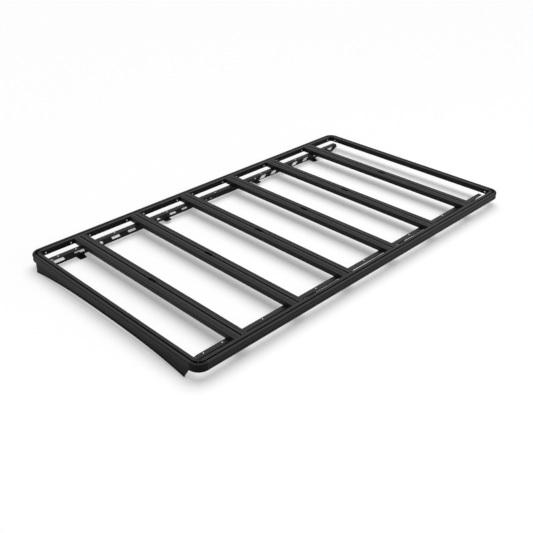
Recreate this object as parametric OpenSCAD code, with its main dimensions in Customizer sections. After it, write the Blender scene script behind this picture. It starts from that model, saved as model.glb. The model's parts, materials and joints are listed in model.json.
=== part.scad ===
// Flat platform roof rack: extruded perimeter, cross slats, folded side plates and feet
// Across the vehicle is X, along it is Y with the front at -Y, and up is Z
// The origin is on the floor under the middle of the rack

/* [Platform] */
// Overall width over the side rails
rack_w = 1426; // [1200:2:1600]
// Overall length over the front and rear rails
rack_l = 2528; // [2460:2:2700]
// Height of the top face above the floor
top_z = 90; // [86:1:110]

/* [Perimeter rail] */
// Width of the rail seen from above
rail_w = 45; // [42:0.5:50]
// Depth of the rail's inner face, and of the slats
deck_d = 33; // [31:0.5:36]
// Depth of the rail's outer skirt
skirt_d = 42; // [40:0.5:46]
// Thickness of the outer skirt at its foot
skirt_w = 15; // [13:0.5:16]
// Radius of the rounded outer shoulder
shoulder_r = 8; // [6:0.5:9]
// Radius at the foot of the outer skirt
skirt_r = 5; // [3:0.5:6]
// Depth of the hollow waist along the outer face
waist_d = 1.6; // [1:0.1:2]
// Power that sets how high the waist's deepest point lies
waist_skew = 0.8; // [0.7:0.05:1.2]
// Outer radius of the corner mouldings in plan
corner_r = 62; // [58:1:75]
// Radius on the rail's inner edges
rail_edge_r = 1.2; // [0.8:0.1:1.5]

/* [Rail channel] */
// Distance of the channel's centre from the outer face
channel_inset = 22; // [21:0.5:23]
// Width of the channel's mouth
channel_mouth = 9; // [8:0.25:10]
// Thickness of the lips over the channel
channel_lip = 3.5; // [3:0.25:4.5]
// Width of the channel under its lips
channel_w = 17; // [15:0.5:18]
// Depth of the channel from the top face
channel_d = 12; // [11:0.5:14]
// Depth of the plain groove in the corner mouldings
corner_groove_d = 7; // [5:0.5:9]
// Width of the rib across the corner groove
corner_rib_w = 4; // [3:0.5:6]

/* [Slats] */
// Distance between the slats' centres
slat_pitch = 384; // [370:1:390]
// Width of a slat
slat_w = 80; // [76:1:90]
// Half width of the flat band beside the slot
slat_flat = 17; // [15:0.5:18]
// Drop of the slat's wings at their edges
wing_drop = 3; // [2:0.25:4]
// Radius of the slat's long edges
slat_edge_r = 2.5; // [2:0.25:3]
// Width of the slot's mouth
slot_mouth = 9; // [8:0.25:10]
// Thickness of the lips over the slot
slot_lip = 3.5; // [3:0.25:4.5]
// Width of the slot under its lips
slot_w = 17; // [15:0.5:18]
// Depth of the slot from the face
slot_d = 12; // [11:0.5:13]
// Length of the insertion notch at the slat's middle
notch_l = 55; // [45:1:70]
// Width of the insertion notch
notch_w = 19; // [18:0.5:21]
// Number of fine grooves on each wing
rib_n = 5; // [3:1:5]
// Distance between the fine grooves
rib_pitch = 3.4; // [3:0.1:3.6]
// Width of a fine groove
rib_w = 1.1; // [0.8:0.1:1.4]
// Depth of a fine groove
rib_d = 0.6; // [0.4:0.1:0.8]

/* [Side plates] */
// Thickness of the plates
plate_t = 3; // [2:0.5:4]
// Distance of a plate's web from the rack's side
plate_inset = 117; // [113:1:124]
// Width of the plate's top flange
flange_w = 30; // [26:1:32]
// Inside radius of the fold
fold_r = 2; // [1:0.5:3]
// Distance from the plate's front end to the rack's front
plate_front_inset = 70; // [66:1:80]
// Distance from the flange's rear end to the rack's rear
plate_rear_inset = 68; // [66:1:80]
// Place of the joint between the front and rear plates
plate_joint_y = -58; // [-70:1:-50]
// Gap between the front and rear plates
plate_joint_gap = 2; // [1:0.5:4]
// Length of the chamfer at the flange's front end
flange_chamfer = 20; // [15:1:24]
// Depth of the web at its front end, from the flange's top
web_front_d = 42; // [40:0.5:44]
// Depth of the web at the joint
web_mid_d = 34; // [32:0.5:37]
// Depth of the web at its rear end
web_rear_d = 44; // [42:0.5:46]
// Distance of the cut-outs from the flange's top
cut_top_d = 8; // [7:0.5:9]
// Corner radius of the cut-outs
cut_r = 3; // [2:0.5:4]
// Number of rounded slots in the front plate
front_cut_n = 9; // [6:1:9]
// Distance from the rack's front to the first slot
front_cut_inset = 80; // [78:1:90]
// Length of the first slot
front_cut_l = 63; // [55:1:66]
// Height of the first slot
front_cut_h = 21; // [18:0.5:22]
// Pitch from the first slot to the second
front_cut_pitch = 132; // [125:1:134]
// Decrease of the pitch from each slot to the next
front_pitch_step = 5.6; // [5:0.1:6]
// Slant of the slots over their height
front_cut_slant = 11; // [6:0.5:13]
// Share by which each slot is smaller than the one before
front_cut_taper = 0.04; // [0.02:0.005:0.045]
// Number of slanted cut-outs in the rear plate
rear_cut_n = 7; // [5:1:7]
// Distance from the rack's rear to the last slanted cut-out's start
rear_cut_inset = 304; // [298:1:320]
// Length of a slanted cut-out
rear_cut_l = 48; // [42:1:52]
// Height of a slanted cut-out
rear_cut_h = 22; // [18:0.5:23]
// Pitch of the slanted cut-outs at the rear
rear_cut_pitch = 116; // [112:1:118]
// Decrease of that pitch towards the front
rear_pitch_step = 4; // [3:0.25:4.5]
// Slant of the cut-outs over their height
rear_cut_slant = 20; // [14:1:22]
// Length of the pointed rear end beyond the flange's end
plate_point_l = 8; // [4:1:12]
// Run of the slanted lower edge at the pointed end
point_slope_l = 44; // [38:1:50]
// Length of the flat lower edge before it
point_flat_l = 16; // [10:1:30]
// Length of the cut-out in the pointed end
point_cut_l = 64; // [56:1:68]
// Distance of that cut-out from the flange's end
point_margin = 40; // [34:1:44]
// Run of the pointed cut-out's front side
point_cut_slope = 40; // [30:1:40]

/* [Feet] */
// Places of the feet along the rack, from its middle
foot_1_y = -1008; // [-1012:1:-1000]
// Second foot
foot_2_y = -398; // [-410:1:-390]
// Third foot
foot_3_y = 374; // [360:1:380]
// Fourth foot
foot_4_y = 952; // [945:1:960]
// Height of the inner feet above the floor
inner_foot_lift = 14; // [8:1:16]
// Length of a foot along the rack
foot_l = 44; // [38:1:50]
// Thickness of a foot
foot_t = 5; // [4:0.5:6]
// Reach of the foot's base towards the middle of the rack
foot_in = 24; // [18:1:28]
// Reach of the foot's base outwards
foot_out = 56; // [48:1:60]
// Height of the foot's upright on the plate's web
foot_up_d = 12; // [10:0.5:13]
// Radius of the fillet between a foot's base and its upright
foot_fillet_r = 3; // [2:0.5:4]
// Distance of the base hole from the web's outer face
foot_hole_x = 38; // [34:1:42]
// Radius of the base hole
foot_hole_r = 4.5; // [3.5:0.25:5.5]

/* [Wind deflector] */
// Thickness of the deflector's sheet
deflector_t = 3; // [2:0.5:4]
// Distance of the deflector's ends from the rack's side, at its top
deflector_side_inset = 65; // [63:1:75]
// Distance by which each end runs in towards its lower tip
deflector_taper = 22; // [10:1:30]
// Height of the lower tips above the floor
deflector_clear = 6; // [5:0.5:10]
// Rise of the lower edge from the tips to the middle
deflector_arch = 28; // [24:1:30]
// Power of the lower edge's curve: a higher one is flatter in the middle
deflector_arch_power = 2.7; // [2:0.1:3]
// Lean of the sheet from upright, in degrees
deflector_lean = 15; // [10:1:18]
// Width of the fold that seats under the rail
deflector_fold_w = 12; // [10:0.5:12.5]
// Distance of the deflector's top edge behind the rack's front
deflector_inset = 4; // [3:0.5:5]
// Thickness of the rubber edging
seal_t = 7; // [6:0.5:9]
// Height of the rubber edging over the sheet's edge
seal_grip = 4; // [3:0.5:5]
// Thickness of the rubber under the sheet's edge
seal_under = 3; // [2:0.5:4]

/* [Hidden] */
// Facets of the round stretches in the extruded profiles
arc_n = 8;
// Facets of their small edge radii
edge_n = 3;
// Facets of a quarter turn in the folds and cut-outs
fold_n = 5;
// Facets of the deflector's arched edge
arch_n = 32;
// Overlap of a cutter past the face that it cuts
over = 1;
// Six slats on three pairs of places
slat_n = 6;
front_y = -rack_l / 2;
rear_y = rack_l / 2;
slat_l = rack_w - 2 * rail_w;
deck_z = top_z - deck_d;
plate_x = rack_w / 2 - plate_inset;
web_out_x = plate_x + plate_t;
plate_front_y = front_y + plate_front_inset;
plate_rear_y = rear_y - plate_rear_inset;
// Vertical run of the deflector from its top to its tips
deflector_run = top_z - skirt_d - deflector_clear;
sheet_l = deflector_run / cos(deflector_lean);
deflector_top_y = front_y + deflector_inset;
deflector_top_x = rack_w / 2 - deflector_side_inset;
deflector_tip_x = deflector_top_x - deflector_taper;
seal_side = (seal_t - deflector_t) / 2;
// How far the rubber edging reaches past the front rail
deflector_reach =
    (sheet_l + seal_under) * sin(deflector_lean) + seal_side * cos(deflector_lean) - deflector_inset;
powder = [0.16, 0.16, 0.165];
moulding = [0.11, 0.11, 0.115];
rubber = [0.05, 0.05, 0.05];

// Points on an arc about c, from angle a0 to angle a1
function arc(c, r, a0, a1, n = arc_n) =
    [for (i = [0:n]) let(a = a0 + (a1 - a0) * i / n) c + r * [cos(a), sin(a)]];

// The rail's outer face: a hollow waist between the shoulder and the skirt's foot
function waist(n = 2 * arc_n) =
    let(v0 = -shoulder_r, v1 = -skirt_d + skirt_r)
    [for (i = [1:n - 1]) [waist_d * pow(sin(180 * pow(i / n, waist_skew)), 2), v0 + (v1 - v0) * i / n]];

// The slat's wing: flat beside the slot, then falling as a parabola to the edge
function wing(s) =
    let(span = slat_w / 2 - slat_flat - slat_edge_r)
    [for (i = [0:arc_n]) let(t = i / arc_n) [s * (slat_flat + span * t), -wing_drop * t * t]];

// Drop of the slat's wing at a distance from the slot's centre
function wing_fall(u) = wing_drop * pow(max(0, (u - slat_flat) / (slat_w / 2 - slat_flat - slat_edge_r)), 2);

// Start of a front slot, at a pitch that shrinks evenly towards the middle
function front_cut_y(i) =
    front_y + front_cut_inset + front_cut_pitch * i - front_pitch_step * i * (i - 1) / 2;

// Start of a rear cut-out, counted from the rear
function rear_cut_y(i) = rear_y - rear_cut_inset - rear_cut_pitch * i + rear_pitch_step * i * (i - 1) / 2;

// Puts the finished assembly over the origin
module placed() {
    translate([0, deflector_reach / 2, 0]) children();
}

module powder_coat() {
    color(powder) children();
}

// A T-shaped slot, open at v = 0 and reaching down to its floor
module tee_slot(mouth, lip, wide, deep) {
    translate([-mouth / 2, -deep]) square([mouth, deep + over]);
    translate([-wide / 2, -deep]) square([wide, deep - lip]);
}

// Section of the perimeter, from its outer face at u = 0 to its inner face
module rail_outline() {
    polygon(concat(
        arc([rail_w - rail_edge_r, -rail_edge_r], rail_edge_r, 0, 90, edge_n),
        arc([shoulder_r, -shoulder_r], shoulder_r, 90, 180),
        waist(),
        arc([skirt_r, -skirt_d + skirt_r], skirt_r, 180, 270),
        [[skirt_w, -skirt_d], [skirt_w, -deck_d]],
        arc([rail_w - rail_edge_r, -deck_d + rail_edge_r], rail_edge_r, 270, 360, edge_n)
    ));
}

module rail_profile() {
    difference() {
        rail_outline();
        translate([channel_inset, 0]) tee_slot(channel_mouth, channel_lip, channel_w, channel_d);
        fine_grooves();
    }
}

// Two shallow grooves beside the channel
module fine_grooves() {
    for (u = [channel_inset / 2, (channel_inset + rail_w) / 2])
        translate([u - rib_w / 2, -rib_d]) square([rib_w, rib_d + over]);
}

module corner_profile() {
    difference() {
        rail_outline();
        translate([channel_inset - channel_mouth / 2, -corner_groove_d])
            square([channel_mouth, corner_groove_d + over]);
        fine_grooves();
    }
}

// A rail at distance d from the origin, with its outer face away from it
module rail_bar(d, l) {
    powder_coat()
        translate([d, 0, top_z])
            rotate([90, 0, 0])
                linear_extrude(l, center = true)
                    mirror([1, 0]) rail_profile();
}

module side_rail() {
    rail_bar(rack_w / 2, rack_l - 2 * corner_r);
}

module cross_rail() {
    rail_bar(rack_l / 2, rack_w - 2 * corner_r);
}

// The corner moulding of the +X, +Y corner: the rail's section turned through 90 degrees
module corner() {
    groove_r = corner_r - channel_inset;
    color(moulding)
        translate([rack_w / 2 - corner_r, rack_l / 2 - corner_r, top_z]) {
            rotate_extrude(angle = 90, $fn = 96)
                translate([corner_r, 0]) mirror([1, 0]) corner_profile();
            rotate([0, 0, 45])
                translate([groove_r - channel_mouth / 2 - rib_w, -corner_rib_w / 2, -corner_groove_d - rib_w])
                    cube([channel_mouth + 2 * rib_w, corner_rib_w, corner_groove_d + rib_w - rib_d]);
        }
}

module slat_outline() {
    half = slat_w / 2;
    edge_c = [half - slat_edge_r, -wing_drop - slat_edge_r];
    right_side = concat(
        wing(1),
        arc(edge_c, slat_edge_r, 90, 0, edge_n),
        [[half, -deck_d + rail_edge_r], [half - rail_edge_r, -deck_d]]
    );
    left_side = [for (i = [len(right_side) - 1:-1:0]) [-right_side[i][0], right_side[i][1]]];
    polygon(concat(right_side, left_side));
}

module slat_profile() {
    difference() {
        slat_outline();
        tee_slot(slot_mouth, slot_lip, slot_w, slot_d);
        translate([0, -deck_d]) mirror([0, 1]) tee_slot(slot_mouth, slot_lip, slot_w, slot_d);
        for (s = [-1, 1])
            for (i = [0:rib_n - 1]) {
                u = slat_flat + rib_w + i * rib_pitch;
                translate([s * u - rib_w / 2, -wing_fall(u) - rib_d]) square([rib_w, rib_d + over]);
            }
    }
}

// Slat i of slat_n, counted from the front
module slat(i) {
    y = (i - (slat_n + 1) / 2) * slat_pitch;
    powder_coat()
        translate([0, y, top_z])
            difference() {
                rotate([90, 0, 90]) linear_extrude(slat_l, center = true) slat_profile();
                translate([-notch_l / 2, -notch_w / 2, -slot_d])
                    cube([notch_l, notch_w, slot_d + over]);
            }
}

// Section of a side plate across the rack: a flange folded over the web
module plate_section(web_d) {
    outer_r = fold_r + plate_t;
    c = [outer_r, -outer_r];
    polygon(concat(
        [[plate_t, -web_d], [0, -web_d]],
        arc(c, outer_r, 180, 90, fold_n),
        [[flange_w, 0], [flange_w, -plate_t]],
        arc(c, fold_r, 90, 180, fold_n)
    ));
}

// A folded plate from y0 to y1, with the web's lower edge and its ends trimmed by a side outline
module folded_plate(y0, y1, side_outline) {
    translate([plate_x, 0, deck_z])
        intersection() {
            translate([0, y1, 0]) rotate([90, 0, 0]) linear_extrude(y1 - y0) plate_section(deck_z);
            translate([-over, 0, 0])
                rotate([90, 0, 90]) linear_extrude(flange_w + 2 * over) polygon(side_outline);
        }
}

// Cut-out i of the front plate: each is a little shorter and lower than the one before
module front_cut(i) {
    l = front_cut_l * (1 - front_cut_taper * i);
    h = front_cut_h * (1 - front_cut_taper * i);
    translate([plate_x - over, front_cut_y(i), deck_z - cut_top_d])
        rotate([90, 0, 90])
            linear_extrude(plate_t + 2 * over)
                round_slot(l, h, front_cut_slant);
}

// A parallelogram with its corners rounded by arcs
module round_slot(l, h, slant) {
    lean = atan2(h, slant);
    near = cut_r / tan(lean / 2);
    far = cut_r * tan(lean / 2);
    polygon(concat(
        arc([near, -cut_r], cut_r, 90, 270 - lean, fold_n),
        arc([slant + far, -h + cut_r], cut_r, 270 - lean, 270, fold_n),
        arc([slant + l - near, -h + cut_r], cut_r, 270, 450 - lean, fold_n),
        arc([l - far, -cut_r], cut_r, 90 - lean, 90, fold_n)
    ));
}

// Mirrored cut-out i of the rear plate, slanting forwards at the bottom
module rear_cut(i) {
    translate([plate_x - over, rear_cut_y(i) + rear_cut_l, deck_z - cut_top_d])
        rotate([90, 0, 90])
            linear_extrude(plate_t + 2 * over)
                mirror([1, 0]) round_slot(rear_cut_l, rear_cut_h, rear_cut_slant);
}

// The triangular cut-out in the pointed rear end
module rear_triangle() {
    y1 = plate_rear_y - point_margin;
    y0 = y1 - point_cut_l;
    low = -rear_cut_h - cut_top_d;
    translate([plate_x - over, 0, deck_z])
        rotate([90, 0, 90])
            linear_extrude(plate_t + 2 * over)
                polygon([
                    [y0, -cut_top_d], [y1, -cut_top_d],
                    [y1 - rear_cut_slant, low], [y0 + point_cut_slope, low]
                ]);
}

module plate_front() {
    outline = [
        [plate_front_y, over], [plate_front_y, -web_front_d],
        [plate_joint_y - plate_joint_gap / 2, -web_mid_d],
        [plate_joint_y - plate_joint_gap / 2, over]
    ];
    powder_coat()
        difference() {
            folded_plate(plate_front_y, plate_joint_y, outline);
            for (i = [0:front_cut_n - 1]) front_cut(i);
            // The fold is relieved at the front end, and the flange runs back in a chamfer
            translate([plate_x - over, plate_front_y - over, deck_z - fold_r - plate_t])
                linear_extrude(fold_r + plate_t + over)
                    polygon([[0, 0], [flange_chamfer + over, 0], [0, flange_chamfer + over]]);
        }
}

module plate_rear() {
    tip_y = plate_rear_y + plate_point_l;
    outline = [
        [plate_joint_y + plate_joint_gap / 2, over],
        [plate_joint_y + plate_joint_gap / 2, -web_mid_d],
        [foot_3_y, -web_mid_d],
        [foot_4_y, -(web_mid_d + web_rear_d) / 2],
        [plate_rear_y - point_slope_l - point_flat_l, -web_rear_d],
        [plate_rear_y - point_slope_l, -web_rear_d],
        [tip_y, -web_rear_d / 2],
        [plate_rear_y, over]
    ];
    powder_coat()
        difference() {
            folded_plate(plate_joint_y, tip_y, outline);
            for (i = [0:rear_cut_n - 1]) rear_cut(i);
            rear_triangle();
        }
}

// Section of a foot across the rack: a base on the vehicle's mount and an upright against the web
module foot_section(lift) {
    up_z = deck_z - foot_up_d;
    base_z = lift + foot_t;
    translate([-foot_in, lift]) square([foot_in + foot_out, foot_t]);
    polygon(concat(
        [[0, up_z], [0, base_z - over], [foot_t + foot_fillet_r, base_z - over]],
        arc([foot_t + foot_fillet_r, base_z + foot_fillet_r], foot_fillet_r, 270, 180, fold_n),
        [[foot_t, up_z]]
    ));
}

// A foot at y, with its base lifted off the floor
module foot(y, lift) {
    powder_coat()
        translate([web_out_x, y, 0])
            difference() {
                rotate([90, 0, 0]) linear_extrude(foot_l, center = true) foot_section(lift);
                translate([foot_hole_x, 0, lift - over])
                    cylinder(foot_t + 2 * over, r = foot_hole_r, $fn = 48);
            }
}

// Height of the deflector's lower edge over its tips, at x
function arch_rise(x) = deflector_arch * (1 - pow(abs(x) / deflector_tip_x, deflector_arch_power));

// The deflector's face, in its own plane with its top edge at 0, widened downwards by extra
function deflector_edge(extra) =
    [for (i = [0:arch_n])
        let(x = deflector_tip_x * (2 * i / arch_n - 1))
        [x, -sheet_l + arch_rise(x) - extra]];

module sheet_face() {
    polygon(concat([[-deflector_top_x, 0]], deflector_edge(0), [[deflector_top_x, 0]]));
}

// The flat sheet, a little over its top edge, with its front face at 0
module sheet() {
    translate([0, over, -deflector_t]) linear_extrude(deflector_t) sheet_face();
}

// Puts a shape drawn in the deflector's plane onto its leaning front face
module on_deflector() {
    translate([0, deflector_top_y, top_z - skirt_d])
        rotate([90 - deflector_lean, 0, 0]) children();
}

module wind_deflector() {
    powder_coat() {
        intersection() {
            on_deflector() sheet();
            translate([-rack_w, front_y - top_z, 0]) cube([2 * rack_w, rack_l, top_z - skirt_d]);
        }
        translate([-deflector_top_x, deflector_top_y, top_z - skirt_d - deflector_t])
            cube([2 * deflector_top_x, deflector_fold_w - deflector_inset, deflector_t]);
    }
}

// Rubber edging that grips the sheet's lower edge
module deflector_seal() {
    color(rubber)
        difference() {
            on_deflector()
                translate([0, 0, -deflector_t - seal_side])
                    linear_extrude(seal_t)
                        polygon(concat(
                            deflector_edge(seal_under),
                            [for (i = [arch_n:-1:0]) deflector_edge(-seal_grip)[i]]
                        ));
            on_deflector() sheet();
        }
}

module left() {
    mirror([1, 0, 0]) children();
}

placed() rotate([0, 0, -90]) cross_rail();  // front_rail
placed() rotate([0, 0, 90]) cross_rail();  // rear_rail
placed() left() side_rail();  // left_rail
placed() side_rail();  // right_rail
placed() left() mirror([0, 1, 0]) corner();  // corner_front_left
placed() mirror([0, 1, 0]) corner();  // corner_front_right
placed() left() corner();  // corner_rear_left
placed() corner();  // corner_rear_right
placed() slat(1);  // slat_1
placed() slat(2);  // slat_2
placed() slat(3);  // slat_3
placed() slat(4);  // slat_4
placed() slat(5);  // slat_5
placed() slat(6);  // slat_6
placed() left() plate_front();  // left_plate_front
placed() left() plate_rear();  // left_plate_rear
placed() plate_front();  // right_plate_front
placed() plate_rear();  // right_plate_rear
placed() left() foot(foot_1_y, 0);  // left_foot_1
placed() left() foot(foot_2_y, inner_foot_lift);  // left_foot_2
placed() left() foot(foot_3_y, inner_foot_lift);  // left_foot_3
placed() left() foot(foot_4_y, 0);  // left_foot_4
placed() foot(foot_1_y, 0);  // right_foot_1
placed() foot(foot_2_y, inner_foot_lift);  // right_foot_2
placed() foot(foot_3_y, inner_foot_lift);  // right_foot_3
placed() foot(foot_4_y, 0);  // right_foot_4
placed() wind_deflector();
placed() deflector_seal();
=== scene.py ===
# %% [markdown]
# # A flat platform roof rack
# The rack is a frame of black coated aluminium with six slotted slats across it. Folded steel
# plates hang below the slats and carry the feet, and a leaning sheet at the front turns the wind
# away. The engineering model already holds every main form, so this lesson adds what it leaves
# out: the fasteners, the pockets of the corners, the coatings, the light and the camera. Lengths
# are in metres, and the rack's length lies along y, with its front at the low end.

# %% Load the frame
import json
import math
import bpy
import numpy as np
from mathutils import Matrix, Vector


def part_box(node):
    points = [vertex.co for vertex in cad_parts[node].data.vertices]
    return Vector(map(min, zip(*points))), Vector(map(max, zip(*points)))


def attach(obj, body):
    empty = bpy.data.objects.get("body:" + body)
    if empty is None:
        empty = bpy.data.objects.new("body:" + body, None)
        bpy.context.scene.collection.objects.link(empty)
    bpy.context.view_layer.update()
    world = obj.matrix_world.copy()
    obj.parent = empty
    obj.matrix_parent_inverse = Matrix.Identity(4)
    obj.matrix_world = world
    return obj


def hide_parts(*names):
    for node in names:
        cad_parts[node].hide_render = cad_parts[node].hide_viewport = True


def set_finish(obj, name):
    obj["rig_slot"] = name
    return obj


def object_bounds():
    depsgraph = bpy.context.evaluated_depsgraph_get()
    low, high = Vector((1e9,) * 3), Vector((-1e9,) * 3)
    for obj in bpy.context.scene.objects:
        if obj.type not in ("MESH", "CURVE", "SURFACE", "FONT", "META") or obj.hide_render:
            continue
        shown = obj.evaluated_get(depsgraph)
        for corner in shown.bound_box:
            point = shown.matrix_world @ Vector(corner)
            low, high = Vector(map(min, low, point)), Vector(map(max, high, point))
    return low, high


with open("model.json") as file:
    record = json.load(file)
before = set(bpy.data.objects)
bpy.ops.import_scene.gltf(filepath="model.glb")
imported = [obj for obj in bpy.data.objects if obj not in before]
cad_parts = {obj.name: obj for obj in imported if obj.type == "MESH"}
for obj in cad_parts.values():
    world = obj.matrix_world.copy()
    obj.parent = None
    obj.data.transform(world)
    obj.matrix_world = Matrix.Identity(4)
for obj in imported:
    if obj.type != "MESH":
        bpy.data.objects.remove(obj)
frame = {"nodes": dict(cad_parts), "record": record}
cad_low, cad_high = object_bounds()
nodes = frame["nodes"]
print("nodes:", len(nodes), "box:", [round(b - a, 4) for a, b in zip(cad_low, cad_high)])

# %% [markdown]
# ## The camera
# The straight edges of the rack in the picture give the viewing direction: the camera stands in
# front and to the right, 31 degrees above the horizon. A camera can be aimed with rotation
# angles, but the two families of edges give its axes directly. So the three axes are written
# down as rows and become the columns of its matrix.

# %% Camera
eye = (2.6822, -2.8077, 2.1102)
right_axis = (0.7071, 0.7071, 0.0)
up_axis = (-0.3657, 0.3657, 0.8559)
back_axis = (0.6052, -0.6052, 0.5171)
lens_data = bpy.data.cameras.new("camera")
lens_data.lens = 49.86
lens_data.sensor_width = 36.0
lens_data.sensor_height = 36.0
camera = bpy.data.objects.new("camera", lens_data)
bpy.context.scene.collection.objects.link(camera)
camera.matrix_world = Matrix.Translation(eye) @ Matrix(
    (right_axis, up_axis, back_axis)).transposed().to_4x4()
bpy.context.scene.camera = camera
print("camera at", eye)

# %% [markdown]
# ## Where things are
# Everything added here sits on a face of the frame. Its place could be typed in as a number, but
# it is read from the boxes of the nodes instead. So the fasteners follow if the rack changes its
# width or its depth.

# %% Places read from the frame
slat_names = sorted(n for n in nodes if n.startswith("slat_"))
slat_y = np.array([(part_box(n)[0].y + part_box(n)[1].y) / 2 for n in slat_names])
middle_y = float(slat_y.mean())
top_z = cad_high.z
rail_in_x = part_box("right_rail")[0].x
rail_in_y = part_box("rear_rail")[0].y - middle_y
flange_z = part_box("slat_1")[0].z
web_in_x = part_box("right_plate_front")[0].x
sheet_t = 0.003
web_out_x = web_in_x + sheet_t
print("slats at", slat_y.round(4), "flange at z", round(flange_z, 4))

# %% [markdown]
# ## Meshes as arrays
# Blender can turn, sweep and stamp shapes with its own tools. Here each shape is worked out as an
# array of points instead, because then its formula can be read and every size has a name. A form
# is a pair: its points, and a list of face arrays with one row of point numbers for each face.
#
# Most forms are rows of closed loops. Each loop is joined to the next by a band of four-sided
# faces, so one helper writes the faces of them all.

# %% Faces between loops
def bands(rows, around, ring=False):
    """Face (i, j) joins points j and j + 1 of loop i to those of loop i + 1, counted round.

    With ring, the last loop is joined to the first."""
    i, j = np.meshgrid(np.arange(rows if ring else rows - 1), np.arange(around), indexing="ij")
    k, n = (j + 1) % around, (i + 1) % rows
    return np.stack([i * around + j, i * around + k, n * around + k, n * around + j],
                    -1).reshape(-1, 4)


def capped(rows, around):
    """The bands as triangles, closed by a fan at each end on a middle point.

    The two middle points come after the loops, the first loop's before the last loop's."""
    quads = bands(rows, around)
    i = np.arange(around)
    j = (i + 1) % around
    last = (rows - 1) * around
    low = np.stack([j, i, np.full(around, rows * around)], -1)
    high = np.stack([last + i, last + j, np.full(around, rows * around + 1)], -1)
    return np.concatenate([quads[:, [0, 1, 2]], quads[:, [0, 2, 3]], low, high])


print("a closed form of 3 loops of 8 points has", len(capped(3, 8)), "triangles")

# %% [markdown]
# A shape that is mirrored comes out with its faces turned inwards, and then it is shaded wrongly
# and its STL file is inside out. The sign of its volume tells, so each form is tested and turned
# round where it needs to be.

# %% Outward faces
def volume(points, faces):
    """Signed volume: the sum of p . (q x r) / 6 over the fan of triangles of every face."""
    fans = np.concatenate([
        np.stack([np.repeat(f[:, :1], f.shape[1] - 2, 1), f[:, 1:-1], f[:, 2:]], -1).reshape(-1, 3)
        for f in faces])
    p, q, r = (points[fans[:, c]] - points.mean(0) for c in range(3))
    return float(np.einsum("ij,ij->i", p, np.cross(q, r)).sum() / 6)


def outward(points, faces):
    """Reverses every face if the form is inside out."""
    return points, faces if volume(points, faces) > 0 else [f[:, ::-1] for f in faces]


tetrahedron = np.array([[0, 0, 0], [1, 0, 0], [0, 1, 0], [0, 0, 1]])
tetrahedron_faces = [np.array([[0, 1, 2], [0, 3, 1], [0, 2, 3], [1, 3, 2]])]
print("an inside-out tetrahedron's volume:", round(volume(tetrahedron, tetrahedron_faces), 4),
      "turned round:", round(volume(*outward(tetrahedron, tetrahedron_faces)), 4))

# %% [markdown]
# Every new piece goes through one function. It joins the forms, keeps edges crisp where two faces
# meet at more than a chosen angle, and tells the frame which body the piece rides on and which
# material slot it takes its finish from. Its object stays at the origin, as the model's own do.

# %% One piece from several forms
def make_piece(name, forms, slot, crisp=40):
    """Point numbers of each form are shifted by the number of points before it, then joined."""
    shifts = np.cumsum([0] + [len(points) for points, _ in forms[:-1]])
    points = np.concatenate([points for points, _ in forms])
    rows = [row for (_, faces), shift in zip(forms, shifts) for f in faces
            for row in (f + shift).tolist()]
    mesh = bpy.data.meshes.new(name)
    mesh.from_pydata(points.tolist(), [], rows)
    mesh.update()
    mesh.shade_smooth()
    mesh.set_sharp_from_angle(angle=math.radians(crisp))
    piece = bpy.data.objects.new(name, mesh)
    bpy.context.scene.collection.objects.link(piece)
    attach(piece, "root")
    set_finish(piece, slot)
    print(name, "faces:", len(rows))
    return piece


# %% [markdown]
# ## Turned fasteners
# A screw head, a washer and a nut are all stacks of closed loops. They could be cylinders with
# cuts, but a cut leaves untidy faces. Each loop is a circle or a hexagon, so one function makes
# all three: it takes a radius, a height and a "hexness" for each loop. A hexagon's radius is its
# half width across the flats, divided by the cosine of the angle from the middle of the nearest
# flat. Blending the two radii lets a hexagonal socket open into a round dome.

# %% Loops into a closed form
def turned(radii, heights, hexness, around=24):
    """Loop k is r(a) = radius * (1 - h + h / cos(a mod 60 - 30 degrees)) at its height."""
    r, z, h = (np.asarray(v, float)[:, None] for v in (radii, heights, hexness))
    a = np.linspace(0, 2 * np.pi, around, endpoint=False)[None, :]
    flat = 1 / np.cos(np.mod(a, np.pi / 3) - np.pi / 6)
    reach = r * (1 - h + h * flat)
    loops = np.stack([reach * np.cos(a), reach * np.sin(a), np.broadcast_to(z, reach.shape)], -1)
    middles = [[0, 0, z[0, 0]], [0, 0, z[-1, 0]]]
    return np.concatenate([loops.reshape(-1, 3), middles]), [capped(len(r), around)]


print("one form of 6 loops:", len(turned([1] * 6, range(6), [0] * 6)[0]), "points")

# %% [markdown]
# The same head sits at many places. Instances would share one mesh, but they can't be one named
# piece, so the points themselves are repeated. The points of one head are turned so that its
# axis points away from the face that it sits on, and shifted to every place in one array sum.

# %% Stamp a form at many places
def basis(out):
    """Three unit vectors as rows, the last along out, right-handed."""
    out = np.asarray(out, float)
    side = np.array([0.0, 1.0, 0.0]) if abs(out[1]) < 0.9 else np.array([0.0, 0.0, 1.0])
    first = np.cross(side, out)
    first /= np.linalg.norm(first)
    return np.stack([first, np.cross(out, first), out])


def stamped(form, places, outs):
    """Each copy's points are place + point * basis(out), for all copies at once."""
    points, faces = form
    turn = np.stack([basis(out) for out in outs])
    moved = np.einsum("pk,nkc->npc", points, turn) + np.asarray(places, float)[:, None, :]
    shift = np.arange(len(places))[:, None, None] * len(points)
    return moved.reshape(-1, 3), [(f[None] + shift).reshape(-1, f.shape[1]) for f in faces]


def both_sides(rows):
    """Repeats each right-hand place or direction on the left, mirrored in x."""
    rows = np.asarray(rows, float)
    return np.concatenate([rows, rows * np.array([-1.0, 1.0, 1.0])])


def on_both_sides(form, places, out):
    """Stamps a form at right-hand places and at their mirror places, all facing out."""
    return stamped(form, both_sides(places), both_sides([out] * len(places)))


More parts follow.
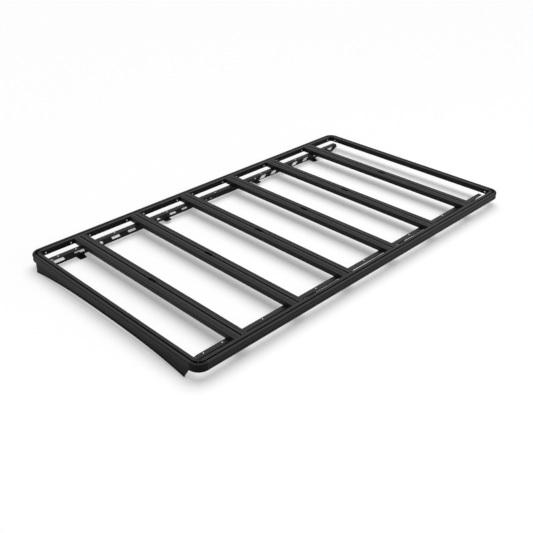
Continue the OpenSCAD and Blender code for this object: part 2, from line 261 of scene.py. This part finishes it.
UP, DOWN, INWARD, OUTWARD = (0.0, 0.0, 1.0), (0.0, 0.0, -1.0), (-1.0, 0.0, 0.0), (1.0, 0.0, 0.0)
print("local axes of a form that faces out:", basis(OUTWARD).astype(int).tolist())

# %% [markdown]
# ## Button-head screws
# The rails are held by low round heads with a hexagonal socket, small and bright in the picture.
# A squashed sphere would do from afar, but the socket shows close by, so the head is turned. Its
# loops start under the head, run out to the rim, up over the dome and down into the socket.

# %% A button head
def button_head(r, tall, socket):
    """Dome height over radius x is tall * (1 - 0.75 * (x / r) squared); the socket is a hexagon."""
    dome = np.array([1.35 * socket, 0.62 * r, 0.78 * r, 0.92 * r, r])
    rise = tall * (1 - 0.75 * (dome / r) ** 2)
    radii = [0.6 * r, r, *dome[::-1], 1.08 * socket, socket, 0.5 * socket]
    heights = [0.0, 0.0, *rise[::-1], tall * 0.93, tall * 0.45, tall * 0.4]
    hexness = [0] * (2 + len(dome)) + [0.9, 1, 1]
    return turned(radii, heights, hexness)


rail_screw = button_head(r=0.0048, tall=0.0027, socket=0.0016)
print("one head:", len(rail_screw[1][0]), "triangles")

# %% [markdown]
# Two screws flank each slat's end on the inner face of the side rail, and two more hold each
# corner moulding, one on either rail. The places on the right side are listed, and the left side
# is their mirror image, as on the real rack.

# %% Screws on the rails
screw_drop = 0.019
beside_slat = 0.062
corner_screw_x = 0.631
corner_screw_y = 1.182
side_y = np.concatenate([slat_y - beside_slat, slat_y + beside_slat,
                         [middle_y - corner_screw_y, middle_y + corner_screw_y]])
side_at = [[rail_in_x, y, top_z - screw_drop] for y in side_y]
front_at = [[corner_screw_x, middle_y - rail_in_y, top_z - screw_drop]]
rear_at = [[corner_screw_x, middle_y + rail_in_y, top_z - screw_drop]]
rail_screws = make_piece("rail_screws", [
    on_both_sides(rail_screw, side_at, INWARD),
    on_both_sides(rail_screw, front_at, (0.0, 1.0, 0.0)),
    on_both_sides(rail_screw, rear_at, (0.0, -1.0, 0.0))], "steel_bolts")

# %% [markdown]
# ## Bolts through the plates' flanges
# Accessories bolt to the flange from above, with a washer and a nut below it. At each slat a
# hexagonal head and its washer pull the flange up against the slat's lower slot. These forms are
# turned like the screws: only their loops differ.

# %% Washer, nut and hexagonal head
def washer(r, t):
    """Loops: a flat disc with a small round edge. The bolt or nut on it covers its hole."""
    return turned([0.5 * r, 0.96 * r, r, r, 0.96 * r, 0.5 * r],
                  [0, 0, 0.12 * t, 0.88 * t, t, t], [0] * 6)


def hex_head(half, t, base):
    """A hexagonal prism that starts at height base, its corners chamfered round at the top."""
    return turned([0.5 * half, half, half, half, 0.97 * half, 0.6 * half],
                  [base, base, base + 0.1 * t, base + 0.82 * t, base + t, base + t],
                  [1, 1, 1, 1, 0, 0])


def hex_nut(half, t, base):
    """A hexagonal nut with the threaded end of its bolt standing out of it."""
    shank = 0.6 * half
    return turned([0.5 * half, half, half, 0.97 * half, shank, shank, 0.85 * shank, 0.4 * shank],
                  [base, base, base + 0.85 * t, base + t, base + t, base + 1.35 * t,
                   base + 1.5 * t, base + 1.5 * t],
                  [1, 1, 1, 0, 0, 0, 0, 0])


washer_t = 0.001
flange_bolt_x = web_in_x + 0.015
bolts_y = middle_y + np.array([-1.144, -1.03, -0.768, -0.384, 0.009, 0.426, 0.768])
over_at = [[flange_bolt_x, y, flange_z] for y in bolts_y]
under_at = [[flange_bolt_x, y, flange_z - sheet_t] for y in bolts_y]
slat_at = [[flange_bolt_x, y, flange_z - sheet_t] for y in slat_y]
flange_bolts = make_piece("flange_bolts", [
    on_both_sides(button_head(r=0.0036, tall=0.0022, socket=0.0012), over_at, UP),
    on_both_sides(washer(r=0.0065, t=washer_t), under_at, DOWN),
    on_both_sides(hex_nut(half=0.005, t=0.004, base=washer_t), under_at, DOWN)], "steel_bolts")
slat_bolts = make_piece("slat_bolts", [
    on_both_sides(washer(r=0.0075, t=washer_t), slat_at, DOWN),
    on_both_sides(hex_head(half=0.0055, t=0.0045, base=washer_t), slat_at, DOWN)], "steel_bolts")

# %% [markdown]
# ## The feet
# A foot is a bracket of thick sheet: a base with rounded corners and a hole for the vehicle's
# bolt, and a low upright that ends under the plate's cut-outs, so that they stay open. It could
# be a cube with a bevel and a cut for the hole. Worked out as loops, it has clean faces between
# the hole and the outline. The outline is a superellipse, which runs from a circle at power 2
# towards a rectangle as the power grows.

# %% Base of a foot
def superellipse(power, around):
    """Points on |x| ** power + |y| ** power = 1, as two columns."""
    a = np.linspace(0, 2 * np.pi, around, endpoint=False)
    c, s = np.cos(a), np.sin(a)
    size = (np.abs(c) ** power + np.abs(s) ** power) ** (-1 / power)
    return np.stack([size * c, size * s], -1)


def foot_base(low, high, z0, z1, hole, hole_r, round_by=0.0004, around=72):
    """Loops: hole, then outline below, outline above, and back to the hole.

    A point of the hole lies on the ray from the hole's middle to its point of the outline."""
    middle, half = (low + high) / 2, (high - low) / 2
    rim = half * superellipse(9.0, around)
    ray = middle + rim - hole
    ray /= np.linalg.norm(ray, axis=1)[:, None]
    inner, flat, edge = hole + ray * hole_r, middle + rim * 0.985, middle + rim
    loops = [(inner, z0), (flat, z0), (edge, z0 + round_by),
             (edge, z1 - round_by), (flat, z1), (inner, z1)]
    points = np.concatenate([np.column_stack([xy, np.full(around, z)]) for xy, z in loops])
    return outward(points, [bands(len(loops), around, ring=True)])


print("a superellipse's corner reaches", superellipse(9.0, 8)[1].round(3))

# %% [markdown]
# The upright is a section that is drawn along the rack: a wall with a quarter-round fillet at its
# foot, as a press leaves it. The section is a closed loop, so its two ends close it as flat faces.

# %% Upright of a foot
def arc(cx, cy, r, a0, a1, n):
    """n + 1 points c + r * (cos a, sin a), with a running evenly from a0 to a1 degrees."""
    a = np.radians(np.linspace(a0, a1, n + 1))
    return np.stack([cx + r * np.cos(a), cy + r * np.sin(a)], -1)


def ends(rows, around):
    """One face over the first loop and one over the last, facing opposite ways."""
    i = np.arange(around)
    return np.stack([i[::-1], (rows - 1) * around + i])


def foot_upright(x, side, y0, y1, z0, z1, t, fillet=0.003, soft=0.0005):
    """A point is (x + side * u, y, z0 + v), for points (u, v) of the section at both ends.

    The section is a wall t thick that widens to t + fillet at its foot."""
    tall = z1 - z0
    section = np.concatenate([[[0, tall], [0, -soft], [t + fillet, -soft]],
                              arc(t + fillet, fillet, fillet, 270, 180, 6),
                              [[t, tall - soft], [t - soft, tall]]])
    points = np.concatenate([np.column_stack([x + side * section[:, 0],
                                              np.full(len(section), y),
                                              z0 + section[:, 1]]) for y in (y0, y1)])
    return outward(points, [bands(2, len(section)), ends(2, len(section))])


print("a fillet of 6 steps:", arc(0, 0, 1, 270, 180, 6).round(2).tolist())

# %% [markdown]
# Each bracket takes its box from the model's own foot and stands in for it. The outer feet end
# lower than the inner ones, because the cut-outs above them come down further.

# %% Eight feet
foot_t = 0.005
foot_hole_r = 0.0045
hole_from_web = 0.038
upright_top = {1: 0.0285, 2: 0.0325, 3: 0.0325, 4: 0.0285}
feet = []
for side, sign in (("left", -1), ("right", 1)):
    for number, top in upright_top.items():
        low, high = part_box(f"{side}_foot_{number}")
        web = sign * web_out_x
        hole = np.array([web + sign * hole_from_web, (low.y + high.y) / 2])
        foot = make_piece(f"bracket_{side}_{number}", [
            foot_base(np.array(low[:2]), np.array(high[:2]), low.z, low.z + foot_t, hole,
                      foot_hole_r),
            foot_upright(web, sign, low.y, high.y, low.z + foot_t, top, foot_t)],
            "coated_steel", crisp=30)
        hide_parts(f"{side}_foot_{number}")
        feet.append(foot)
print("feet:", len(feet))

# %% [markdown]
# ## Bolts of the feet
# Each foot's upright is bolted to the plate's web, low down where the web is whole between its
# cut-outs. The hexagonal heads are on the upright outside. On the web's inner face, which shows
# through the bays, sit low round heads. All of them are coated like the plates, so they show as
# shape and not as bright dots.

# %% Foot bolts
foot_bolt_apart = 0.012
foot_bolt_z = {1: 0.0215, 2: 0.0265, 3: 0.0265, 4: 0.0215}
foot_bolt_yz = []
for number, z in foot_bolt_z.items():
    low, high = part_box(f"right_foot_{number}")
    foot_bolt_yz += [[(low.y + high.y) / 2 + s * foot_bolt_apart, z] for s in (-1, 1)]
heads_at = [[web_out_x + foot_t, y, z] for y, z in foot_bolt_yz]
inside_at = [[web_in_x, y, z] for y, z in foot_bolt_yz]
foot_bolts = make_piece("foot_bolts", [
    on_both_sides(hex_head(half=0.004, t=0.0035, base=0.0), heads_at, OUTWARD),
    on_both_sides(button_head(r=0.0042, tall=0.0024, socket=0.0014), inside_at, INWARD)],
    "coated_steel")

# %% [markdown]
# ## The joint of the plates
# The front and rear plates meet under the third bay. A short strip behind the web holds them in
# line. A bevelled cube would look alike, but here the superellipse is at hand: the strip is its
# outline in six loops through the thickness, with a soft rim.

# %% Splice strips
def rounded_strip(half_a, half_b, t, around=48):
    """Loops |x / half_a| ** 7 + |y / half_b| ** 7 = k ** 7, with k below 1 at both rims."""
    outline = superellipse(7.0, around) * [half_a, half_b]
    loops = [(0.5, 0), (0.985, 0), (1, 0.15 * t), (1, 0.85 * t), (0.985, t), (0.5, t)]
    points = [np.column_stack([outline * k, np.full(around, z)]) for k, z in loops]
    return np.concatenate(points + [[[0, 0, 0], [0, 0, t]]]), [capped(len(loops), around)]


joint_y = (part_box("right_plate_front")[1].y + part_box("right_plate_rear")[0].y) / 2
strip_z = flange_z - 0.0205
joint_screw_apart = 0.019
# Facing sideways, a form's own x axis points down and its y axis lies along the rack.
strip = rounded_strip(half_a=0.0095, half_b=0.032, t=0.0025)
splice_strips = make_piece("splice_strips", [
    on_both_sides(strip, [[web_out_x, joint_y, strip_z]], OUTWARD)], "coated_steel")
joint_at = [[web_in_x, joint_y + s * joint_screw_apart, strip_z] for s in (-1, 1)]
joint_screws = make_piece("joint_screws", [
    on_both_sides(button_head(r=0.004, tall=0.0022, socket=0.0014), joint_at, INWARD)],
    "steel_bolts")

# %% [markdown]
# ## Screws of the deflector
# Small screws hold the deflector's fold under the front rail. They show only from below, and
# they are the same turned head at a smaller size.

# %% Deflector screws
deflector_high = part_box("wind_deflector")[1]
fold_screw_in = 0.0026
fold_at = [[x, deflector_high.y - fold_screw_in, deflector_high.z - sheet_t]
           for x in np.linspace(0.09, 0.6, 4)]
deflector_screws = make_piece("deflector_screws", [
    on_both_sides(button_head(r=0.0024, tall=0.0016, socket=0.0008), fold_at, DOWN)],
    "steel_bolts")

# %% [markdown]
# ## The corner mouldings
# A moulding closes the ends of two rails. It carries the rails' section round the corner, and
# their channels end in it as two deep pockets with a rib between them. The pockets could be cut
# out of the model's plain corner, but a moulded pocket has flowing walls. So the section is swept
# round a quarter circle, with the groove's width and depth as functions of the angle, and this
# piece stands in for the plain corner.
#
# The section comes first, in millimetres: u runs inwards from the outer face, v upwards from the
# top face.

# %% Section of the rail
rail_w, deck_d, skirt_d, skirt_w = 45.0, 33.0, 42.0, 15.0
shoulder_r, skirt_r, fillet_r, waist_d = 8.0, 5.0, 1.2, 1.6


def waist_curve(deep, top, low, n=16):
    """Depth of the hollow is deep * sin(180 degrees * t ** 0.8) squared, for t from 0 to 1."""
    t = np.arange(1, n) / n
    return np.stack([deep * np.sin(np.pi * t ** 0.8) ** 2, top + (low - top) * t], -1)


outer_part = np.concatenate([
    arc(shoulder_r, -shoulder_r, shoulder_r, 90, 180, 8),
    waist_curve(waist_d, -shoulder_r, skirt_r - skirt_d),
    arc(skirt_r, skirt_r - skirt_d, skirt_r, 180, 270, 8),
    [[skirt_w, -skirt_d], [skirt_w, -deck_d]],
    arc(rail_w - fillet_r, fillet_r - deck_d, fillet_r, 270, 360, 3),
    arc(rail_w - fillet_r, -fillet_r, fillet_r, 0, 90, 3)]) / 1000
print("points of the section without its groove:", len(outer_part))

# %% [markdown]
# The groove adds four points to the section at every station. The stations are 1.5 degrees apart,
# with four more at the rib's walls, so that these stand nearly upright.

# %% Swept corner with pockets
def swept_corner(radius, groove_at, signs, rib=3.0, rib_wall=0.4):
    """A point is (radius - u) * (cos a, sin a) at height v, for section points (u, v).

    Half the groove's width is 4.5 mm + 3 mm * swell and its depth 7 mm + 5 mm * swell, where swell
    is the squared sine of the way from the rail's end to the rib. On the rib it is 0.6 mm deep.
    The rib's half width and its wall are in degrees."""
    a = np.unique(np.concatenate([
        np.linspace(0, 90, 61), 45 + np.array([-rib - rib_wall, -rib, rib, rib + rib_wall])]))
    way = np.clip(1 - np.abs(a - 45) / 45, 0, 1)
    swell = np.sin(np.pi * np.clip(way * 1.15, 0, 1) * 0.5) ** 2
    off_rib = np.clip((np.abs(a - 45) - rib) / rib_wall, 0, 1)
    half = 0.0045 + 0.0030 * swell
    deep = 0.0006 + (0.0064 + 0.0050 * swell) * off_rib
    zero = np.zeros_like(a)
    near, far = groove_at + half, groove_at - half
    groove = np.stack([np.stack([near, zero], -1), np.stack([near, -deep], -1),
                       np.stack([far, -deep], -1), np.stack([far, zero], -1)], 1)
    section = np.concatenate([np.broadcast_to(outer_part, (len(a), *outer_part.shape)), groove], 1)
    turn = np.radians(a)[:, None]
    reach = radius - section[..., 0]
    points = np.stack([reach * np.cos(turn), reach * np.sin(turn), section[..., 1]], -1)
    rows, cols = points.shape[:2]
    mirrored = points.reshape(-1, 3) * np.array([*signs, 1.0])
    return outward(mirrored, [bands(rows, cols), ends(rows, cols)])


corner_r = 0.062
channel_inset = 0.022
corner_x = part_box("right_rail")[1].x - corner_r
corner_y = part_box("rear_rail")[1].y - middle_y - corner_r
corners = []
for name, sx, sy in (("front_left", -1, -1), ("front_right", 1, -1),
                     ("rear_left", -1, 1), ("rear_right", 1, 1)):
    points, faces = swept_corner(corner_r, channel_inset, (sx, sy))
    points = points + np.array([sx * corner_x, middle_y + sy * corner_y, top_z])
    moulding = make_piece("moulding_" + name, [(points, faces)], "corner_moulding", crisp=30)
    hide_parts("corner_" + name)
    corners.append(moulding)
print("corners:", len(corners), "volume of one, ml:", round(volume(points, faces) * 1e6, 1))

# %% [markdown]
# ## Shared surface effects
# Powder coating, moulded plastic and rubber all need a fine relief and a slow change of tone and
# gloss, at different scales. Each material could have its own copy of these nodes, but a node
# group holds them once, with named inputs for what differs. Three short helpers keep the groups
# readable: one makes a group with its sockets, one a Math node and one a noise texture.

# %% Helpers for node groups
SOCKETS = {"float": "NodeSocketFloat", "vector": "NodeSocketVector"}


def new_group(name, inputs, outputs):
    """A shader node group with named sockets. Inputs are floats, given with their values."""
    group = bpy.data.node_groups.new(name, "ShaderNodeTree")
    for label, value in inputs.items():
        socket = group.interface.new_socket(name=label, in_out="INPUT",
                                            socket_type=SOCKETS["float"])
        socket.default_value = value
    for label, kind in outputs.items():
        group.interface.new_socket(name=label, in_out="OUTPUT", socket_type=SOCKETS[kind])
    return group, group.nodes.new("NodeGroupInput"), group.nodes.new("NodeGroupOutput")


def plug(tree, socket, value):
    """Sets a socket to a number, or links another node's output to it."""
    if isinstance(value, (int, float)):
        socket.default_value = value
    else:
        tree.links.new(value, socket)


def math_node(tree, operation, a, b, clamp=False):
    """A Math node on two numbers or outputs. Returns its output."""
    node = tree.nodes.new("ShaderNodeMath")
    node.operation = operation
    node.use_clamp = clamp
    plug(tree, node.inputs[0], a)
    plug(tree, node.inputs[1], b)
    return node.outputs[0]


def weighted(tree, a, share, b):
    """share * a + (1 - share) * b."""
    return math_node(tree, "ADD", math_node(tree, "MULTIPLY", a, share),
                     math_node(tree, "MULTIPLY", b, 1 - share))


def noise(tree, coords, scale, detail, rough=0.55):
    """A noise texture's value on the given coordinates."""
    node = tree.nodes.new("ShaderNodeTexNoise")
    node.inputs["Detail"].default_value = detail
    node.inputs["Roughness"].default_value = rough
    tree.links.new(coords, node.inputs["Vector"])
    plug(tree, node.inputs["Scale"], scale)
    return node.outputs[0]


def object_coords(tree):
    """Object coordinates: metres here, because no object is moved, turned or scaled."""
    return tree.nodes.new("ShaderNodeTexCoord").outputs["Object"]


print("socket kinds:", list(SOCKETS))

# %% [markdown]
# Powder coating dries with a faint orange peel under a finer grit, and its tone and gloss drift
# slowly over a rail. Three noises give these, and the outputs blend them: Height for the relief,
# Tone for the colour and Gloss for the roughness. A scale of 700 on Object coordinates makes
# bumps about a millimetre and a half apart.

# %% Surface grain
grain, grain_in, grain_out = new_group(
    "surface_grain", {"Bump scale": 700.0, "Grit scale": 2600.0, "Drift scale": 9.0},
    {"Height": "float", "Tone": "float", "Gloss": "float"})
coords = object_coords(grain)
peel = noise(grain, coords, grain_in.outputs["Bump scale"], detail=2.0, rough=0.45)
grit = noise(grain, coords, grain_in.outputs["Grit scale"], detail=1.0, rough=0.5)
drift = noise(grain, coords, grain_in.outputs["Drift scale"], detail=4.0, rough=0.6)
grain.links.new(weighted(grain, peel, 0.7, grit), grain_out.inputs["Height"])
grain.links.new(weighted(grain, drift, 0.6, grit), grain_out.inputs["Tone"])
grain.links.new(weighted(grain, peel, 0.4, drift), grain_out.inputs["Gloss"])
print("group:", grain.name, "nodes:", len(grain.nodes))

# %% [markdown]
# A coated edge is never dead sharp: the coating draws thin over it, is a little worn and catches
# the light. The model's own meshes can't be bevelled, so the Bevel node rounds their shading.
# Where its normal departs from the true one there is an edge, so their dot product makes the
# wear mask, broken up by noise.

# %% Worn edges
edge, edge_in, edge_out = new_group(
    "worn_edges", {"Radius": 0.0006, "Break up": 160.0}, {"Normal": "vector", "Mask": "float"})
bevel = edge.nodes.new("ShaderNodeBevel")
bevel.samples = 6
edge.links.new(edge_in.outputs["Radius"], bevel.inputs["Radius"])
dot = edge.nodes.new("ShaderNodeVectorMath")
dot.operation = "DOT_PRODUCT"
edge.links.new(bevel.outputs[0], dot.inputs[0])
edge.links.new(edge.nodes.new("ShaderNodeNewGeometry").outputs["Normal"], dot.inputs[1])
departs = math_node(edge, "SUBTRACT", 1.0, dot.outputs["Value"])
bend = math_node(edge, "MULTIPLY", departs, 7.0, clamp=True)
broken = noise(edge, object_coords(edge), edge_in.outputs["Break up"], detail=4.0)
patches = math_node(edge, "MULTIPLY", math_node(edge, "SUBTRACT", broken, 0.42), 4.0, clamp=True)
edge.links.new(math_node(edge, "MULTIPLY", bend, patches), edge_out.inputs["Mask"])
edge.links.new(bevel.outputs[0], edge_out.inputs["Normal"])
print("group:", edge.name, "nodes:", len(edge.nodes))

# %% [markdown]
# A little dust settles on faces that look up. It could be painted on, but the model's meshes have
# no UV map, and a formula works on all of them: the upward part of the true normal, squared,
# times two noises of very different scale, one for patches and one for specks.

# %% Settled dust
dust, dust_in, dust_out = new_group("settled_dust", {"Patch scale": 5.0}, {"Mask": "float"})
split = dust.nodes.new("ShaderNodeSeparateXYZ")
dust.links.new(dust.nodes.new("ShaderNodeNewGeometry").outputs["Normal"], split.inputs[0])
upward = math_node(dust, "POWER", math_node(dust, "MAXIMUM", split.outputs["Z"], 0.0), 2.0)
coords = object_coords(dust)
patch = noise(dust, coords, dust_in.outputs["Patch scale"], detail=5.0, rough=0.65)
fine = noise(dust, coords, 1500.0, detail=1.0)
speck = math_node(dust, "MULTIPLY", math_node(dust, "SUBTRACT", fine, 0.5), 3.0, clamp=True)
dust.links.new(math_node(dust, "MULTIPLY", upward, math_node(dust, "MULTIPLY", patch, speck)),
               dust_out.inputs["Mask"])
print("group:", dust.name, "nodes:", len(dust.nodes))

# %% [markdown]
# ## The finishes
# On the real rack the extrusions have a satin powder coat, the folded sheets a flatter one, and
# the corners and the deflector's edge are plastic and rubber. One function makes them all. Each
# finish is a Principled BSDF whose colour runs between a dark and a light value with the grain's
# tone, then towards the worn and the dusty colour. The uniform numbers stay on the shader's own
# sockets.

# %% One finish from the shared effects
dust_colour = (0.30, 0.29, 0.27)


def mix_colour(tree, factor, a, b):
    """A Mix node on colours: a where the factor is 0 and b where it is 1."""
    node = tree.nodes.new("ShaderNodeMix")
    node.data_type = "RGBA"
    tree.links.new(factor, node.inputs[0])
    for socket, value in ((node.inputs[6], a), (node.inputs[7], b)):
        if isinstance(value, tuple):
            socket.default_value = (*value, 1.0)
        else:
            tree.links.new(value, socket)
    return node.outputs[2]


def use_group(tree, group, values):
    """Places a group in a material, with its own values on its inputs. Returns its outputs."""
    node = tree.nodes.new("ShaderNodeGroup")
    node.node_tree = group
    for label, value in values.items():
        node.inputs[label].default_value = value
    return node.outputs


def finish(name, dark, light, worn, rough, specular, relief, scales, wear, dusty,
           metallic=0.0, edge_r=0.0006):
    """Colour = dark to light by tone, then worn by the edge mask, then dust by the dust mask.

    Roughness runs over the range rough. The grain is relief metres deep, and scales are those of
    its peel, grit and drift. Wear and dusty say how much of each mask is used."""
    material = bpy.data.materials.new(name)
    material.use_nodes = True
    tree = material.node_tree
    shader = tree.nodes["Principled BSDF"]
    shader.inputs["Specular IOR Level"].default_value = specular
    shader.inputs["Metallic"].default_value = metallic
    coat = use_group(tree, grain, dict(zip(("Bump scale", "Grit scale", "Drift scale"), scales)))
    rim = use_group(tree, edge, {"Radius": edge_r})
    film = use_group(tree, dust, {})
    base = mix_colour(tree, coat["Tone"], dark, light)
    base = mix_colour(tree, math_node(tree, "MULTIPLY", rim["Mask"], wear), base, worn)
    base = mix_colour(tree, math_node(tree, "MULTIPLY", film["Mask"], dusty), base, dust_colour)
    tree.links.new(base, shader.inputs["Base Color"])
    spread = tree.nodes.new("ShaderNodeMapRange")
    for label, value in zip(("From Min", "From Max", "To Min", "To Max"), (0.25, 0.75, *rough)):
        spread.inputs[label].default_value = value
    tree.links.new(coat["Gloss"], spread.inputs["Value"])
    tree.links.new(spread.outputs[0], shader.inputs["Roughness"])
    bump = tree.nodes.new("ShaderNodeBump")
    bump.inputs["Strength"].default_value = 1.0
    bump.inputs["Distance"].default_value = relief
    tree.links.new(coat["Height"], bump.inputs["Height"])
    tree.links.new(rim["Normal"], bump.inputs["Normal"])
    tree.links.new(bump.outputs[0], shader.inputs["Normal"])
    print("finish:", name)
    return material


finishes = {
    "coated_extrusion": finish(
        "satin_black_coat", dark=(0.0092, 0.0092, 0.0096), light=(0.0144, 0.0144, 0.0148),
        worn=(0.05, 0.05, 0.05), rough=(0.44, 0.54), specular=0.125, relief=0.000008,
        scales=(650.0, 2600.0, 7.0), wear=0.3, dusty=0.03),
    "coated_steel": finish(
        "matt_black_coat", dark=(0.0072, 0.0072, 0.0072), light=(0.0118, 0.0118, 0.0118),
        worn=(0.04, 0.04, 0.04), rough=(0.50, 0.62), specular=0.15, relief=0.00001,
        scales=(900.0, 2800.0, 11.0), wear=0.3, dusty=0.03),
    "corner_moulding": finish(
        "moulded_plastic", dark=(0.0045, 0.0045, 0.005), light=(0.0075, 0.0075, 0.008),
        worn=(0.02, 0.02, 0.02), rough=(0.58, 0.70), specular=0.10, relief=0.000015,
        scales=(1500.0, 4200.0, 15.0), wear=0.3, dusty=0.05),
    "rubber_edge": finish(
        "black_rubber", dark=(0.006, 0.006, 0.006), light=(0.011, 0.011, 0.011),
        worn=(0.02, 0.02, 0.02), rough=(0.72, 0.86), specular=0.12, relief=0.00002,
        scales=(420.0, 2000.0, 20.0), wear=0.2, dusty=0.12),
    "steel_bolts": finish(
        "zinc_steel", dark=(0.48, 0.48, 0.49), light=(0.66, 0.66, 0.67),
        worn=(0.78, 0.78, 0.78), rough=(0.24, 0.42), specular=0.50, relief=0.00001,
        scales=(1800.0, 5200.0, 60.0), wear=0.6, dusty=0.05, metallic=1.0, edge_r=0.0002),
}

# %% [markdown]
# The record says which finish each node has. A node's mesh is left alone, and only its material
# slots change. A new piece has the finish of the slot that it was given.

# %% Put the finishes on
for part in frame["record"]["subparts"]:
    materials = nodes[part["node"]].data.materials
    materials.clear()
    materials.append(finishes[part["material_slot"]])
pieces = [rail_screws, flange_bolts, slat_bolts, foot_bolts, splice_strips, joint_screws,
          deflector_screws, *corners, *feet]
for piece in pieces:
    piece.data.materials.append(finishes[piece["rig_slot"]])
print("dressed:", len(nodes), "nodes and", len(pieces), "new pieces")

# %% [markdown]
# ## The floor
# The rack lies on a plain white floor in the picture, with soft shadows on it. A white floor would
# throw light back up and turn the black underside grey. So the Light Path node tells the rays
# apart: the floor is white to the camera and in reflections, and grey to light that bounces. Part
# of the white is its own glow, which keeps the shadows soft and pale. Seen from below, it lets
# the camera through, so that the underside can be looked at.

# %% Floor
floor_z = -0.0004
floor_half = 30.0


def floor_sheet(half, z, n=9):
    """A flat grid of n by n points, z constant."""
    u = np.linspace(-half, half, n)
    x, y = np.meshgrid(u, u, indexing="ij")
    points = np.stack([x, y, np.full_like(x, z)], -1).reshape(-1, 3)
    i, j = np.meshgrid(np.arange(n - 1), np.arange(n - 1), indexing="ij")
    a = (i * n + j).ravel()
    return points, np.stack([a, a + n, a + n + 1, a + 1], -1)


def sees_white(tree):
    """The rays that should see white: 1 for camera, glossy and transmission rays, else 0."""
    rays = tree.nodes.new("ShaderNodeLightPath").outputs
    return math_node(tree, "MAXIMUM", rays["Is Camera Ray"], math_node(
        tree, "MAXIMUM", rays["Is Glossy Ray"], rays["Is Transmission Ray"]))


def mix_shader(tree, factor, a, b):
    """A Mix Shader: a where the factor is 0 and b where it is 1. Returns its output."""
    node = tree.nodes.new("ShaderNodeMixShader")
    plug(tree, node.inputs[0], factor)
    tree.links.new(a, node.inputs[1])
    tree.links.new(b, node.inputs[2])
    return node.outputs[0]


def diffuse(tree, level):
    """A matt shader of one grey level."""
    node = tree.nodes.new("ShaderNodeBsdfDiffuse")
    node.inputs["Color"].default_value = (level, level, level, 1)
    return node.outputs[0]


floor_points, floor_faces = floor_sheet(floor_half, floor_z)
floor_mesh = bpy.data.meshes.new("floor")
floor_mesh.from_pydata(floor_points.tolist(), [], floor_faces.tolist())
floor = bpy.data.objects.new("floor", floor_mesh)
bpy.context.scene.collection.objects.link(floor)

paper = bpy.data.materials.new("white_floor")
paper.use_nodes = True
tree = paper.node_tree
tree.nodes.remove(tree.nodes["Principled BSDF"])
glow = tree.nodes.new("ShaderNodeEmission")
glow.inputs["Strength"].default_value = 1.0
white = mix_shader(tree, 0.34, diffuse(tree, 0.96), glow.outputs[0])
floor_look = mix_shader(tree, sees_white(tree), diffuse(tree, 0.10), white)
from_below = math_node(tree, "MULTIPLY",
                       tree.nodes.new("ShaderNodeNewGeometry").outputs["Backfacing"],
                       tree.nodes.new("ShaderNodeLightPath").outputs["Is Camera Ray"])
clear = tree.nodes.new("ShaderNodeBsdfTransparent").outputs[0]
tree.links.new(mix_shader(tree, from_below, floor_look, clear),
               tree.nodes["Material Output"].inputs["Surface"])
floor_mesh.materials.append(paper)
print("floor at z", floor_z, "and", 2 * floor_half, "m wide")

# %% [markdown]
# ## Light and background
# The picture was lit by something wide and soft, high behind the rack and to the left. An area
# lamp there would light the near floor more than the far floor, and a very wide sun lights all of
# it evenly: the shadows fall softly towards the camera. A weak soft box stands to the right. The
# background is white where the floor is, to the camera and in reflections, and weak elsewhere.

# %% Lamps and world
def soft_box(name, at, towards, size, watts):
    """A rectangular area lamp at a point, facing another point."""
    data = bpy.data.lights.new(name, "AREA")
    data.shape = "RECTANGLE"
    data.size, data.size_y = size
    data.energy = watts
    lamp = bpy.data.objects.new(name, data)
    bpy.context.scene.collection.objects.link(lamp)
    aim = (Vector(towards) - Vector(at)).to_track_quat("-Z", "Y")
    lamp.matrix_world = Matrix.Translation(at) @ aim.to_matrix().to_4x4()


def wide_sun(name, towards_lamp, degrees, energy):
    """A sun that fills a cone of the sky, round the direction that leads to it."""
    data = bpy.data.lights.new(name, "SUN")
    data.angle = math.radians(degrees)
    data.energy = energy
    lamp = bpy.data.objects.new(name, data)
    bpy.context.scene.collection.objects.link(lamp)
    lamp.matrix_world = Vector(towards_lamp).to_track_quat("Z", "Y").to_matrix().to_4x4()


wide_sun("overhead", towards_lamp=(-0.22, 0.34, 1), degrees=62, energy=2.85)
soft_box("right_fill", at=(4.5, 0.5, 2.2), towards=(0, 0, 0), size=(3.0, 2.0), watts=24.0)
world = bpy.data.worlds.new("studio")
world.use_nodes = True
sky = world.node_tree
sky.nodes["Background"].inputs["Color"].default_value = (1, 1, 1, 1)
sky_strength = math_node(sky, "MAXIMUM", sees_white(sky), 0.17)
sky.links.new(sky_strength, sky.nodes["Background"].inputs["Strength"])
bpy.context.scene.world = world
bpy.context.scene.view_settings.view_transform = "Standard"
